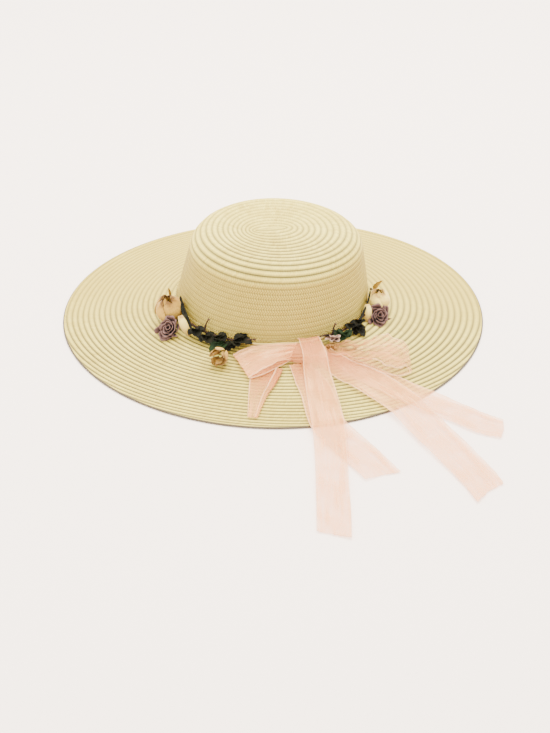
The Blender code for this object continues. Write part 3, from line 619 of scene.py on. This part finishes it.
ribbon = {
    "width": 0.036, "thickness": 0.00025, "lie": 0.0006, "layer": 0.0013, "knotHeight": 0.009, "columns": 19,
    "rowsPerStation": 14, "tailCloth": 1.05, "loopCloth": 1.2,
    "ripple": 0.0007, "crease": 0.0004, "gather": 0.0003, "curl": 0.0006, "hemLift": 0.0011, "loopLow": 0.0008,
}
tails = {
    # share out over the brim, azimuth, width share, lift share of knotHeight, ribbons underneath
    "tail_1": (
        (0.045, -70.2, 0.54, 0.80, 1.0), (0.10, -70.6, 0.56, 1.14, 1.0), (0.19, -71.1, 0.60, 1.18, 1.0),
        (0.30, -71.8, 0.64, 1.10, 1.0), (0.42, -72.7, 0.70, 0.12, 1.0), (0.70, -74.4, 0.80, 0.0, 1.0),
        (1.03, -76.0, 0.84, 0.0, 1.0), (1.50, -78.5, 0.80, 0.0, 1.0), (1.85, -80.0, 0.80, 0.0, 0.9),
        (2.15, -81.0, 0.81, 0.0, 0.0), (2.49, -82.0, 0.81, 0.0, 0.0)),
    "tail_2": (
        (0.255, -78.6, 0.50, 0.10, 0.0), (0.36, -77.4, 0.62, 0.0, 0.0), (0.46, -76.2, 0.80, 0.0, 0.0),
        (0.63, -75.5, 0.86, 0.0, 0.0), (1.03, -76.0, 0.92, 0.0, 0.0), (1.27, -74.2, 0.95, 0.0, 0.0),
        (1.54, -72.4, 0.95, 0.0, 0.0), (1.81, -71.2, 0.92, 0.0, 0.0)),
    "tail_3": (
        (0.235, -66.5, 0.56, 0.50, 1.0), (0.34, -63.8, 0.72, 0.18, 1.0), (0.46, -61.2, 0.88, 0.0, 1.0),
        (0.62, -57.4, 1.00, 0.0, 1.0), (0.97, -54.6, 1.02, 0.0, 1.0), (1.53, -56.4, 1.00, 0.0, 1.0),
        (2.17, -57.9, 0.95, 0.0, 0.0), (2.43, -58.9, 0.90, 0.0, 0.0)),
    "tail_4": (
        (0.33, -61.0, 0.36, 0.0, 0.0), (0.45, -57.2, 0.66, 0.0, 0.0), (0.79, -51.4, 0.84, 0.0, 0.0),
        (1.30, -47.4, 0.86, 0.0, 0.0), (1.62, -46.4, 0.86, 0.0, 0.0), (1.79, -45.0, 0.84, 0.0, 0.0)),
    "bow_return": (
        (0.28, -91.0, 0.74, 0.0, 0.0), (0.44, -93.2, 0.72, 0.0, 0.0), (0.64, -94.6, 0.48, 0.0, 0.0),
        (0.90, -95.2, 0.26, 0.0, 0.0)),
}
tailCuts = {  # how far the cut end lies ahead at its right edge, middle and left edge, in ribbon widths
    "tail_1": (-0.12, 0.0, 0.14), "tail_2": (0.0, 0.02, 0.14), "tail_3": (0.14, -0.22, -0.39),
    "tail_4": (0.10, 0.04, -0.12), "bow_return": (0.0, 0.0, 0.0),
}
tailHems = {"bow_return": 0.55}  # the share of the width that is turned back over one edge
loops = {
    # the back and front edges from the knot out to the fold, and the upper layer's lift along them, in metres
    "bow_loop_left": {
        "back": ((0.0240, -0.1005), (0.0060, -0.1030), (-0.0170, -0.1040), (-0.0370, -0.1085)),
        "front": ((0.0180, -0.1195), (0.0050, -0.1275), (-0.0080, -0.1365), (-0.0215, -0.1425)),
        "lift": (0.0082, 0.0095, 0.0085, 0.0040), "pleats": 3.0, "pleatDepth": 0.0026, "creases": 0.0007,
        "seed": 1.3, "look": "organza"},
    "bow_loop_right": {
        "back": ((0.0500, -0.1000), (0.0780, -0.0945), (0.0970, -0.0865), (0.1130, -0.0795), (0.1300, -0.0850)),
        "front": ((0.0520, -0.1090), (0.0750, -0.1145), (0.0950, -0.1225), (0.1140, -0.1290), (0.1310, -0.1240)),
        "lift": (0.0070, 0.0105, 0.0135, 0.0135, 0.0080), "pleats": 4.0, "pleatDepth": 0.0042, "creases": 0.0028,
        "seed": 4.1, "look": "organza_sheer"},
}


def clothPiece(node, points, look):
    # the grid as a sheet: u is the length along it, v the share across, and a thin wall on both sides
    steps = np.linalg.norm(np.diff(points, axis=0), axis=2).mean(1)
    along = np.concatenate([[0], np.cumsum(steps)])
    u, v = np.meshgrid(along, np.linspace(0, 1, points.shape[1]), indexing="ij")
    mesh = meshOf("ribbon_" + node, *gridPart(points, u, v))
    obj = addObject("ribbon_" + node, mesh, look, node)
    thicken(obj, ribbon["thickness"])


def makeTail(name):
    # a ribbon laid on the hat and the floor: a centre line in plan, a width across it,
    # and a height over what it lies on
    rows = ribbon["rowsPerStation"] * len(tails[name])
    out, azimuth, width, lift, under = catmull(tails[name], rows).T
    radius, turn = hat["crownRadius"] + out * brimWidth, np.radians(azimuth)
    centres = np.stack([radius * np.cos(turn), radius * np.sin(turn)], -1)
    ahead = np.gradient(centres, axis=0)
    ahead /= np.linalg.norm(ahead, axis=1)[:, None]
    left = np.stack([-ahead[:, 1], ahead[:, 0]], 1)
    # the hem: the grid reaches past one edge, and comes back over it from there
    reach = (np.linspace(-1, 1, ribbon["columns"]) + 1) * (1 + 0.5 * tailHems.get(name, 0.0)) - 1
    turnedBack = np.clip(reach - 1, 0, None)
    sides = np.minimum(reach, 1) - turnedBack
    cut = np.interp(sides, (-1, 0, 1), tailCuts[name]) * ribbon["width"]
    nearEnd = np.clip(1 - (rows - 1 - np.arange(rows)) / ribbon["rowsPerStation"], 0, 1)
    half = 0.5 * ribbon["width"] * width
    plan = (centres[:, None, :] + (half[:, None] * sides)[:, :, None] * left[:, None, :]
            + (nearEnd[:, None] * cut)[:, :, None] * ahead[:, None, :])
    x, y = plan[:, :, 0], plan[:, :, 1]
    lift = ribbon["knotHeight"] * np.maximum(lift, 0) + ribbon["layer"] * np.clip(under, 0, 1)
    # low ripples: slow waves that cross the ribbon at a slant, small creases, and edges that curl up a little
    t, s, seed = np.linspace(0, 1, rows)[:, None], sides[None, :], azimuth[0]
    ripple = ribbon["ripple"] * (0.5 + 0.5 * np.sin(2 * np.pi * (3.2 * t + 0.35 * s) + len(name) + seed))
    creases = ribbon["crease"] * (1 + crumple(9 * t, 1.2 * s, seed))
    gather = ribbon["gather"] * np.exp(-t * 14) * (1 + np.cos(4 * np.pi * s))
    curl = ribbon["curl"] * np.abs(s) ** 3 + ribbon["hemLift"] * np.clip(turnedBack / 0.1, 0, 1)[None, :]
    z = surfaceHeight(x, y) + lift[:, None] + ribbon["lie"] + ripple + creases + gather + curl
    look = "organza_folded" if name in tailHems else "organza"
    clothPiece(name, np.stack([x, y, z], -1), look)


def makeLoop(name):
    # out to the fold along its lower layer and back along the upper one:
    # s = 1 - |2a - 1| ^ 1.35, and the cloth spans between two edge curves at s
    data = loops[name]
    a, c = shareGrid(90, 25, 0)
    s = 1 - np.abs(2 * a - 1) ** 1.35
    plan = curveAt(data["back"], s) * (1 - c)[..., None] + curveAt(data["front"], s) * c[..., None]
    x, y = plan[:, :, 0], plan[:, :, 1]
    upper = np.clip((a - 0.42) / 0.16, 0, 1)
    upper = upper * upper * (3 - 2 * upper)
    lift = curveAt(np.array(data["lift"])[:, None], s)[..., 0]
    arch = 0.72 + 0.28 * np.sin(np.pi * c) ** 0.6
    # pleats that run out from the knot and fade, and creases all over
    pleats = data["pleatDepth"] * (np.sin(2 * np.pi * data["pleats"] * c + 2.5 * s) - 0.4) * np.exp(-1.6 * s)
    creases = data["creases"] * crumple(2.2 * s, 1.6 * c, data["seed"])
    low = ribbon["loopLow"] + 0.35 * lift * np.exp(-6 * s)
    z = surfaceHeight(x, y) + ribbon["layer"] + ribbon["lie"]
    z = z + upper * (lift * arch + pleats + creases) + (1 - upper) * low
    clothPiece(name, np.stack([x, y, z], -1), data["look"])


def nodeAxes(name):
    # the middle and the size of a CAD node's box
    low, high = (np.array(corner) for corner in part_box(name))
    return 0.5 * (low + high), high - low


knot = {"length": 0.040, "width": 0.022, "height": 0.0085, "power": 0.62, "pleats": 11, "pleatDepth": 0.10}


def soft(value):
    return np.sign(value) * np.abs(value) ** knot["power"]


def makeKnot():
    # a lens of gathered ribbon: x, y and z are powers of sines and cosines, with pleats that fade to its ends
    turn = np.linspace(0, 2 * np.pi, 73)[:-1]
    a, b = np.meshgrid(np.linspace(-np.pi / 2, np.pi / 2, 40), turn, indexing="ij")
    pleat = 1 + knot["pleatDepth"] * np.sin(knot["pleats"] * b + 3 * np.sin(a)) * np.cos(a)
    x = 0.5 * knot["length"] * soft(np.sin(a))
    y = 0.5 * knot["width"] * soft(np.cos(a)) * soft(np.cos(b)) * pleat
    z = 0.5 * knot["height"] * soft(np.cos(a)) * soft(np.sin(b)) * pleat
    slope = math.atan2(hat["brimRise"], brimWidth)
    points = np.stack([x, y * math.cos(slope) - z * math.sin(slope),
                       y * math.sin(slope) + z * math.cos(slope)], -1)
    middle = nodeAxes("bow_knot")[0]
    # v stops short of both edges, so no selvedge shows
    u, v = np.meshgrid(np.linspace(0, 0.05, 40), np.linspace(0.06, 0.94, 73), indexing="ij")
    mesh = meshOf("ribbon_bow_knot", *gridPart(points + middle, u, v, wrapCols=True), merge=1e-6)
    addObject("ribbon_bow_knot", mesh, "organza_gathered", "bow_knot")


band = {"standOff": 0.0006, "ripple": 0.0006, "waves": 31, "low": 0.0004, "height": 0.0078, "flatWidth": 0.0105,
        "fullness": 1.1}


def makeBand():
    # a narrow sheer band round the crown's foot, softly gathered: its radius ripples
    turn = np.linspace(0, 2 * np.pi, 361)
    share = np.linspace(0, 1, 9)
    a, s = np.meshgrid(turn, share, indexing="ij")
    ripple = 0.5 + 0.5 * np.sin(band["waves"] * a + 2 * np.sin(5 * a) + 2 * s)
    radius = hat["crownRadius"] + band["standOff"] + band["ripple"] * ripple * (0.3 + 0.7 * np.sin(np.pi * s))
    height = footHeight + band["low"] + band["height"] * s
    points = np.stack([radius * np.cos(a), radius * np.sin(a), height], -1)
    u, v = np.meshgrid(turn * hat["crownRadius"], share, indexing="ij")
    mesh = meshOf("ribbon_hat_band", *gridPart(points, u, v), merge=1e-6)
    obj = addObject("ribbon_hat_band", mesh, "organza_cream", "hat_band")
    thicken(obj, ribbon["thickness"])


for tailName in tails:
    makeTail(tailName)
for loopName in loops:
    makeLoop(loopName)
makeKnot()
makeBand()
print("stage: ribbon made")


garland = {
    "vineStart": -176.0, "vineEnd": 6.0, "vineWaves": 6.5, "vineHeight": 0.0048, "vineOff": 0.0016,
    "wireRadius": 0.0013, "wireWave": 0.001, "threadTurns": 230, "threadDepth": 0.07,
    "leafLength": 0.0130, "leafWidth": 0.0118, "leafDroop": 0.18, "leafFold": 0.22, "stalkRadius": 0.0010,
    "twigLength": 0.013, "twigRadius": 0.0010, "twigBow": 0.32,
    "cloth": 0.0004, "roseCloth": 0.0005, "wallClear": 0.0010, "bandClear": 0.0014, "bandTop": 0.0095,
    "brimClear": 0.0005,
}


def keepClear(points):
    # out of the crown's wall and its band, and above the brim
    x, y, z = points.reshape(-1, 3).T.copy()
    high = np.clip(z - footHeight, 0, None)
    middle = hat["crownLean"] * high / hat["crownHeight"]
    wall = crownWall(np.clip(high / wallTop, 0, 1)) + garland["wallClear"]
    wall = wall + garland["bandClear"] * (high < garland["bandTop"])
    push = np.maximum(wall / np.hypot(x - middle, y), 1)
    x, y = middle + (x - middle) * push, y * push
    return np.stack([x, y, np.maximum(z, surfaceHeight(x, y) + garland["brimClear"])], -1)


def makeVine():
    # a wire wound with thread: a wavy arc, with a thread's turns as small ridges
    share = np.linspace(0, 1, 700)
    turn = np.radians(garland["vineStart"] + share * (garland["vineEnd"] - garland["vineStart"]))
    wave = garland["wireWave"] * np.sin(2 * np.pi * garland["vineWaves"] * share)
    radius = hat["crownRadius"] + garland["vineOff"] + garland["wireRadius"] + garland["wireWave"] + wave
    path = np.stack([radius * np.cos(turn), radius * np.sin(turn), footHeight + garland["vineHeight"] + wave], -1)
    thread = 0.90 + garland["threadDepth"] * np.sin(2 * np.pi * garland["threadTurns"] * share)
    mesh = meshOf("garland_vine", *tubeAlong(path, garland["wireRadius"], 10, thread), merge=1e-6)
    addObject("garland_vine", mesh, "vine_thread", "vine")


def bladePoints(length, width):
    # a leaf along +X: width as a power of a sine, a fold along its middle, a tip that hangs, waves at the edge
    t, s = shareGrid(21, 11)
    breadth = 0.05 + 0.95 * np.sin(np.pi * t ** 0.85) ** 0.60
    wave = 0.04 * width * np.sin(9 * np.pi * t) * np.abs(s) ** 2
    z = garland["leafFold"] * width * np.abs(s) ** 1.3 * breadth - garland["leafDroop"] * length * t * t + wave
    return np.stack([length * t, 0.5 * width * breadth * s, z], -1), t, 0.5 + 0.5 * s


def bladeBetween(base, tip, widthWay, width, cup, arch):
    # a petal from base to tip: breadth is a power of a sine, its sides lift by cup and its middle bows by arch
    base, tip, way = (np.array(p, float) for p in (base, tip, widthWay))
    length = np.linalg.norm(tip - base)
    ahead = (tip - base) / length
    way = way - ahead * np.dot(way, ahead)
    way /= np.linalg.norm(way)
    face = np.cross(ahead, way)
    t, s = shareGrid(19, 13)
    breadth = 0.18 + 0.82 * np.sin(np.pi * np.clip(0.06 + 0.86 * t, 0, 1)) ** 0.75
    bow = arch * length * np.sin(np.pi * t) + cup * width * breadth * np.abs(s) ** 1.6
    points = base + length * t[..., None] * ahead + (0.5 * width * breadth * s)[..., None] * way
    return gridPart(points + bow[..., None] * face, 0.5 + 0.5 * s, t)


leafShapes = {
    # azimuth, length and width shares, heading from outwards, tilt up, look
    "leaf_01": (-140.5, 1.50, 0.20, -84.0, 50.0, "leaf_dark"),
    "leaf_02": (-137.0, 1.00, 0.90, 62.0, 6.0, "leaf_dark"),
    "leaf_03": (-130.0, 1.00, 1.00, 64.0, 2.0, "leaf_dark"),
    "leaf_04": (-123.0, 0.93, 1.00, 70.0, 24.0, "leaf_dark"),
    "leaf_05": (-115.0, 1.20, 1.05, -44.0, -15.0, "leaf_green"),
    "leaf_06": (-111.5, 1.33, 1.15, 82.0, 18.0, "leaf_dark"),
    "leaf_07": (-112.0, 0.73, 0.80, -6.0, -24.0, "leaf_dark"),
    "leaf_08": (-46.5, 1.00, 1.30, -64.0, -4.0, "leaf_green"),
    "leaf_09": (-40.0, 0.80, 0.85, -66.0, 26.0, "leaf_dark"),
    "leaf_10": (-38.0, 0.93, 0.80, -6.0, -20.0, "leaf_dark"),
    "leaf_11": (-34.0, 0.93, 0.75, -64.0, 24.0, "leaf_dark"),
    "leaf_12": (-172.0, 1.50, 0.18, 78.0, 66.0, "leaf_gold"),
    "leaf_13": (1.5, 1.53, 0.60, -62.0, 62.0, "leaf_gold"),
}
# heading, tilt and size of each
leaflets = ((0.0, 0.0, 1.10), (50.0, 14.0, 0.85), (-46.0, 0.0, 0.80), (8.0, 34.0, 0.70))
stalks = {
    # dark stalks that stand against the crown beside the flowers
    "leaf_01": ((-0.0767, -0.0735, 0.0235), (-0.0800, -0.0610, 0.0285), (-0.0845, -0.0490, 0.0350),
                (-0.0885, -0.0380, 0.0430)),
    "leaf_11": ((0.0838, -0.0560, 0.0255), (0.0885, -0.0450, 0.0300), (0.0930, -0.0330, 0.0350),
                (0.0955, -0.0220, 0.0400)),
}


def turned(points, azimuth, heading, tilt):
    turn = Euler((0.0, -math.radians(tilt), math.radians(azimuth + heading)), "XYZ").to_matrix()
    return points @ np.array(turn).T


def intoBox(points, node, onFloor=False):
    # moves a shape so that its box has the middle of its CAD node's box, or its foot there
    middle, size = nodeAxes(node)
    flat = points.reshape(-1, 3)
    moved = points + middle - 0.5 * (flat.min(0) + flat.max(0))
    if onFloor:
        moved[..., 2] += (middle[2] - 0.5 * size[2]) - moved[..., 2].min()
    return moved


def addCloth(node, parts, look, thickness=garland["cloth"]):
    verts, quads, uvs = joined(parts)
    mesh = meshOf("garland_" + node, keepClear(verts), quads, uvs)
    thicken(addObject("garland_" + node, mesh, look, node), thickness)


def sprig(node):
    # leaflets from one point; a golden leaf is one alone
    azimuth, length, width, heading, tilt, look = leafShapes[node]
    parts = []
    for turnBy, tiltBy, size in leaflets[:1] if look == "leaf_gold" else leaflets:
        points, t, s = bladePoints(length * size * garland["leafLength"], width * size * garland["leafWidth"])
        parts.append(gridPart(turned(points, azimuth, heading + turnBy, tilt + tiltBy), t, s))
    verts, quads, uvs = joined(parts)
    return intoBox(verts, node), quads, uvs


def makeLeaf(node):
    # a sprig, with a stalk where there is one; leaf_01 is a narrow blade along its stalk
    stalk = stalks.get(node)
    if node == "leaf_01":
        parts = [bladeBetween(stalk[0], stalk[3], (0.7, 0.3, -0.3), 0.0042, 0.3, 0.05)]
    else:
        parts = [sprig(node)]
    if stalk:
        parts.append(tubeAlong(catmull(stalk, 30), garland["stalkRadius"], 8, np.linspace(1.3, 0.5, 30)))
    addCloth(node, parts, leafShapes[node][-1])


twigs = {
    # azimuth, length share, heading from outwards, tilt up
    "twig_1": (-130.0, 1.23, 100.0, 72.0), "twig_2": (-106.0, 1.00, 88.0, 20.0),
    "twig_3": (-54.5, 0.92, 40.0, 78.0), "twig_4": (-58.0, 0.92, -92.0, 2.0),
}


def makeTwig(node, azimuth, length, heading, tilt):
    # a thin bowed wire: a parabola along its length, with a small bud at the tip
    t = np.linspace(0, 1, 20)[:, None]
    path = length * garland["twigLength"] * np.concatenate([t, 0 * t, garland["twigBow"] * t * (1 - t)], 1)
    path = intoBox(turned(path, azimuth, heading, tilt), node)
    taper = 1.0 - 0.35 * t[:, 0] + 0.6 * (t[:, 0] > 0.90)
    mesh = meshOf("garland_" + node, *tubeAlong(path, garland["twigRadius"], 8, taper), merge=1e-6)
    addObject("garland_" + node, mesh, "stem_brown", node)


def flowerHead(node, petals, azimuth, lean, onFloor=False):
    # petals given as (out, angle, up, t, s) grids, leaned, turned and moved to their node's place
    verts, quads, uvs = joined([
        gridPart(np.stack([out * np.cos(angle), out * np.sin(angle), up], -1), 0.5 + 0.5 * s, t)
        for out, angle, up, t, s in petals])
    turn = np.array(Euler((0, math.radians(lean), math.radians(azimuth))).to_matrix())
    return [(intoBox(verts @ turn.T, node, onFloor), quads, uvs)]


rose = {
    "radius": 0.0112, "height": 0.0140,
    # each ring's count of petals, radius, height and how far its rim turns out
    "rings": ((2, 0.20, 1.00, 0.08), (3, 0.42, 0.98, 0.14), (4, 0.66, 0.90, 0.20), (5, 0.90, 0.74, 0.26)),
}


def makeRose(node, azimuth, size, lean):
    # rings of cupped petals: radius widens with height as a sine and the rim turns out with its fourth power
    petals = []
    radius, height = rose["radius"] * size, rose["height"] * size
    t, s = shareGrid(12, 15)
    for ring, (count, wide, tall, rimOut) in enumerate(rose["rings"]):
        for petal in range(count):
            odd = math.sin(4.7 * petal + 2.9 * ring)  # how far this petal differs from its neighbours
            angle = 2 * np.pi * (petal / count + 0.23 * ring + 0.05 * odd) + s * 1.35 * np.pi / count
            wave = np.sin(3.3 * s + 2.3 * petal + 1.7 * ring) + 0.5 * np.sin(7.1 * s + 1.9 * petal + ring)
            out = radius * wide * (1 + 0.10 * odd) * (0.60 + 0.40 * np.sin(0.5 * np.pi * t)) * (1 + 0.20 * s)
            out = out + radius * rimOut * t ** 4 * (1 + 0.6 * wave)
            up = height * tall * (1 + 0.08 * odd) * t * (1 - 0.12 * s * s)
            up = up + 0.08 * height * wave * t - 0.5 * radius * rimOut * t ** 6
            petals.append((out, angle, up, t, s))
    addCloth(node, flowerHead(node, petals, azimuth, lean), "rose_mauve", garland["roseCloth"])


bloom = {
    "radius": 0.0135, "height": 0.0290,
    # turn, radius and height of each
    "petals": ((0.0, 0.58, 0.98), (2.2, 0.62, 0.94), (4.3, 0.66, 0.97), (0.6, 0.92, 0.90),
               (1.9, 0.95, 0.95), (3.2, 0.98, 0.86), (4.4, 1.00, 0.93), (5.6, 1.03, 0.88)),
}


def makeBloom(node, azimuth, size, lean, look, spread, flare):
    # a plump satin bud: petals wrapped over each other, each one's radius a power of a sine of its height;
    # an open one's are narrower, and their tips turn out by flare times the third power of the height
    petals = []
    radius, height = bloom["radius"] * size, bloom["height"] * size
    t, s = shareGrid(22, 17)
    body = np.sin(np.pi * (0.14 + 0.76 * t)) ** 0.8
    for start, wide, tall in bloom["petals"]:
        angle = start + s * math.radians(spread) * np.sin(np.pi * (0.16 + 0.76 * t)) ** 0.55
        out = radius * (wide * body * (1 + 0.08 * s) + flare * t ** 3 * (0.6 + 0.4 * wide))
        out = out + 0.03 * radius * np.sin(2.6 * np.pi * s + start) * t ** 3
        petals.append((out, angle, height * tall * t * (1 - 0.10 * s * s * t), t, s))
    addCloth(node, flowerHead(node, petals, azimuth, lean, True), look)


bud = {
    "length": 0.0115, "width": 0.0062, "lift": 26.0, "cup": 0.34, "arch": 0.10,
    # each petal's heading and rise in degrees
    "petals": ((-46.0, 2.0), (-24.0, 26.0), (-8.0, 4.0), (14.0, 28.0), (32.0, 2.0), (50.0, 22.0)),
}


def makeBud(node, azimuth, look):
    # cupped petals that fan out from the vine's side of the node's box
    middle = nodeAxes(node)[0]
    turn = math.radians(azimuth)
    base = middle - 0.42 * bud["length"] * np.array([math.cos(turn), math.sin(turn), 0.30])
    parts = []
    for heading, rise in bud["petals"]:
        way, rise = turn + math.radians(heading), math.radians(rise + bud["lift"])
        aim = np.array([math.cos(way) * math.cos(rise), math.sin(way) * math.cos(rise), math.sin(rise)])
        parts.append(bladeBetween(base, base + bud["length"] * aim, (-math.sin(way), math.cos(way), 0.25),
                                  bud["width"], bud["cup"], bud["arch"]))
    addCloth(node, parts, look)


def makePetal(node, *shape):
    addCloth(node, [bladeBetween(*shape)], "satin_cream")


flowers = {
    # azimuth, size and lean; a bloom's look, and how far its petals spread and flare
    "rose_left": (makeRose, -120.0, 0.84, 46.0), "rose_right": (makeRose, -75.0, 0.80, 46.0),
    "flower_left": (makeBloom, -120.0, 1.0, 16.0, "satin_tan", 60.0, 0.0),
    "flower_right": (makeBloom, -90.0, 0.84, 12.0, "satin_cream", 60.0, 0.0),
    # a loose petal's base, tip, way of its width, width, cup and arch
    "petal_left": (makePetal, (-0.0800, -0.0725, 0.0192), (-0.0885, -0.0660, 0.0375), (1.0, -0.4, 0.3),
                   0.0095, 0.28, -0.12),
    "petal_right": (makePetal, (0.0925, -0.0455, 0.0192), (0.0925, -0.0385, 0.0350), (1.0, 0.3, 0.2),
                    0.0085, 0.25, -0.10),
    "bud_left": (makeBloom, -108.0, 0.60, 74.0, "satin_tan", 31.0, 0.55),
    "bud_right": (makeBud, -100.0, "bud_mauve"),
}

makeVine()
for leafNode in leafShapes:
    makeLeaf(leafNode)
for twigNode, values in twigs.items():
    makeTwig(twigNode, *values)
for flowerNode, (makeFlower, *values) in flowers.items():
    makeFlower(flowerNode, *values)
print("stage: garland made")


studio = {
    "floor": (0.90, 0.77, 0.66), "floorDrop": 0.0002, "world": 4.2, "worldColour": (1.0, 0.975, 0.95),
    # place, size and power of each
    "lamps": {"top": ((0.1, 0.5, 1.6), 1.6, 110.0), "front": ((-0.9, -1.6, 1.0), 1.2, 15.0)},
    "lens": 93.7, "cameraPlace": (0.0027, -1.650, 0.941), "cameraPitch": 58.78,
}


def makeStudio():
    link = bpy.context.scene.collection.objects.link
    floorMesh = bpy.data.meshes.new("floor")
    work = bmesh.new()
    bmesh.ops.create_grid(work, x_segments=1, y_segments=1, size=4.0)
    work.to_mesh(floorMesh)
    work.free()
    floor = bpy.data.objects.new("floor", floorMesh)
    floor.location.z = -studio["floorDrop"]
    link(floor)
    floorMesh.materials.append(startMaterial("paper_floor", studio["floor"], 0.9, 0.1)[0])
    world = bpy.data.worlds.new("studio")
    bpy.context.scene.world = world
    world.use_nodes = True
    background = world.node_tree.nodes["Background"]
    background.inputs["Color"].default_value = (*studio["worldColour"], 1)
    background.inputs["Strength"].default_value = studio["world"]
    for name, (place, size, power) in studio["lamps"].items():
        lamp = bpy.data.lights.new(name, "AREA")
        lamp.energy = power
        lamp.size = size
        light = bpy.data.objects.new(name, lamp)
        light.location = place
        light.rotation_euler = (-Vector(place)).to_track_quat("-Z", "Y").to_euler()  # towards the hat
        link(light)
    lens = bpy.data.cameras.new("camera")
    lens.lens = studio["lens"]
    lens.sensor_width = 36
    lens.clip_end = 20
    camera = bpy.data.objects.new("camera", lens)
    camera.location = studio["cameraPlace"]
    camera.rotation_euler = (math.radians(studio["cameraPitch"]), 0, 0)
    link(camera)
    bpy.context.scene.camera = camera


makeStudio()
print("stage: studio made")
